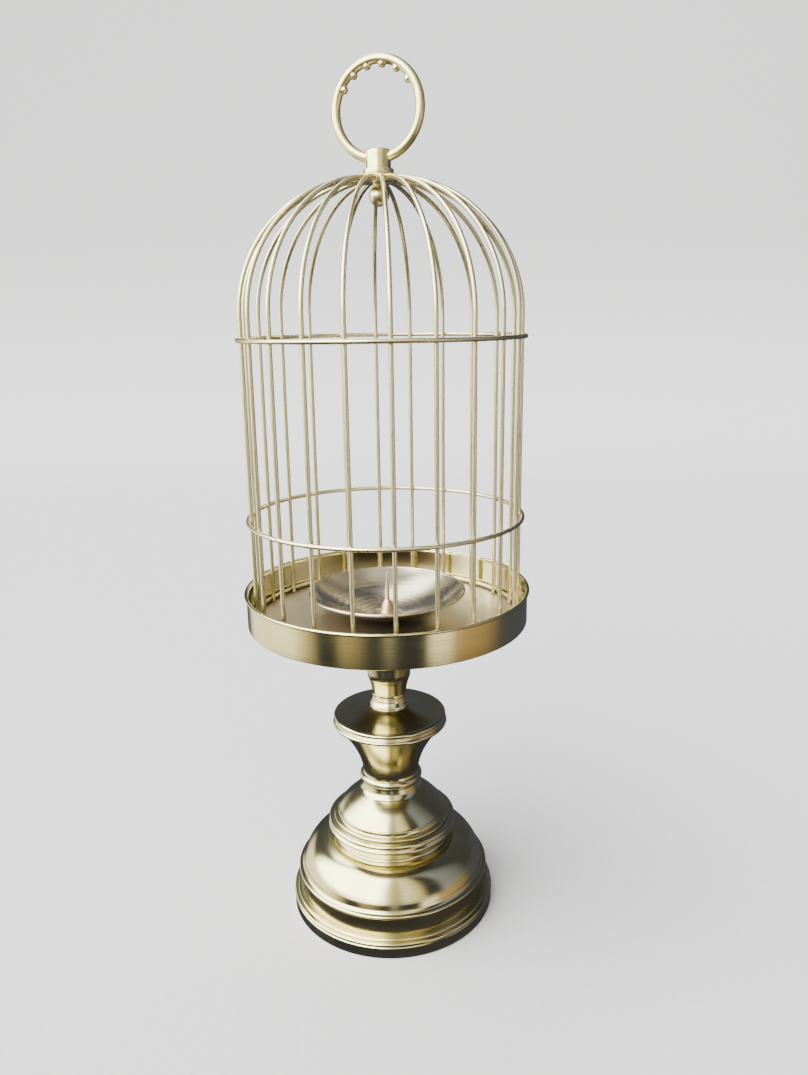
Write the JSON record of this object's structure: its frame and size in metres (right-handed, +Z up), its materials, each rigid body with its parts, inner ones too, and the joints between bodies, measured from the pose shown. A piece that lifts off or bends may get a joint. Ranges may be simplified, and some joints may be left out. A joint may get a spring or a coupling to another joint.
{
  "type": "bird cage on stand",
  "caption": "Decorative brass wire bird cage that lifts off a round tray with a candle dish, on a turned pedestal.",
  "frame": {"origin": "centre of the foot's underside, on the bench", "axes": "+Z up along the turned stem; -Y is the front, the side the ring handle faces within 23 degrees"},
  "size_m": [0.1796, 0.1796, 0.5291],
  "materials": {
    "turned_brass": "satin turned, antique",
    "brushed_brass": "brushed",
    "spun_brass": "polished, spun",
    "cast_brass": "polished",
    "wire_brass": "polished drawn wire",
    "plated_steel": "plated"
  },
  "bodies": {
    "stand": {"foot": "turned_brass", "bell": "turned_brass", "saucer_stem": "turned_brass", "neck_cup": "turned_brass", "tie_rod": "plated_steel", "tie_washer": "plated_steel", "tie_nut": "plated_steel", "tray_floor": "brushed_brass", "tray_wall": "brushed_brass", "dish": "spun_brass", "spike": "cast_brass"},
    "cage": {"hoop_bottom": "wire_brass", "hoop_middle": "wire_brass", "hoop_top": "wire_brass", "hub": "cast_brass", "finial": "cast_brass", "finial_stud": "plated_steel", "ball_nut": "cast_brass", "ring_handle": "cast_brass", "wire_01": "wire_brass", "wire_02": "wire_brass", "wire_03": "wire_brass", "wire_04": "wire_brass", "wire_05": "wire_brass", "wire_06": "wire_brass", "wire_07": "wire_brass", "wire_08": "wire_brass", "wire_09": "wire_brass", "wire_10": "wire_brass", "wire_11": "wire_brass", "wire_12": "wire_brass", "wire_13": "wire_brass", "wire_14": "wire_brass", "wire_15": "wire_brass", "wire_16": "wire_brass", "wire_17": "wire_brass", "wire_18": "wire_brass", "wire_19": "wire_brass", "wire_20": "wire_brass", "wire_21": "wire_brass", "wire_22": "wire_brass"}
  },
  "joints": [
    {"name": "cage_lift", "type": "slide", "parent": "stand", "child": "cage", "axis": [0, 0, 1], "range_m": [0, 0.06]}
  ]
}
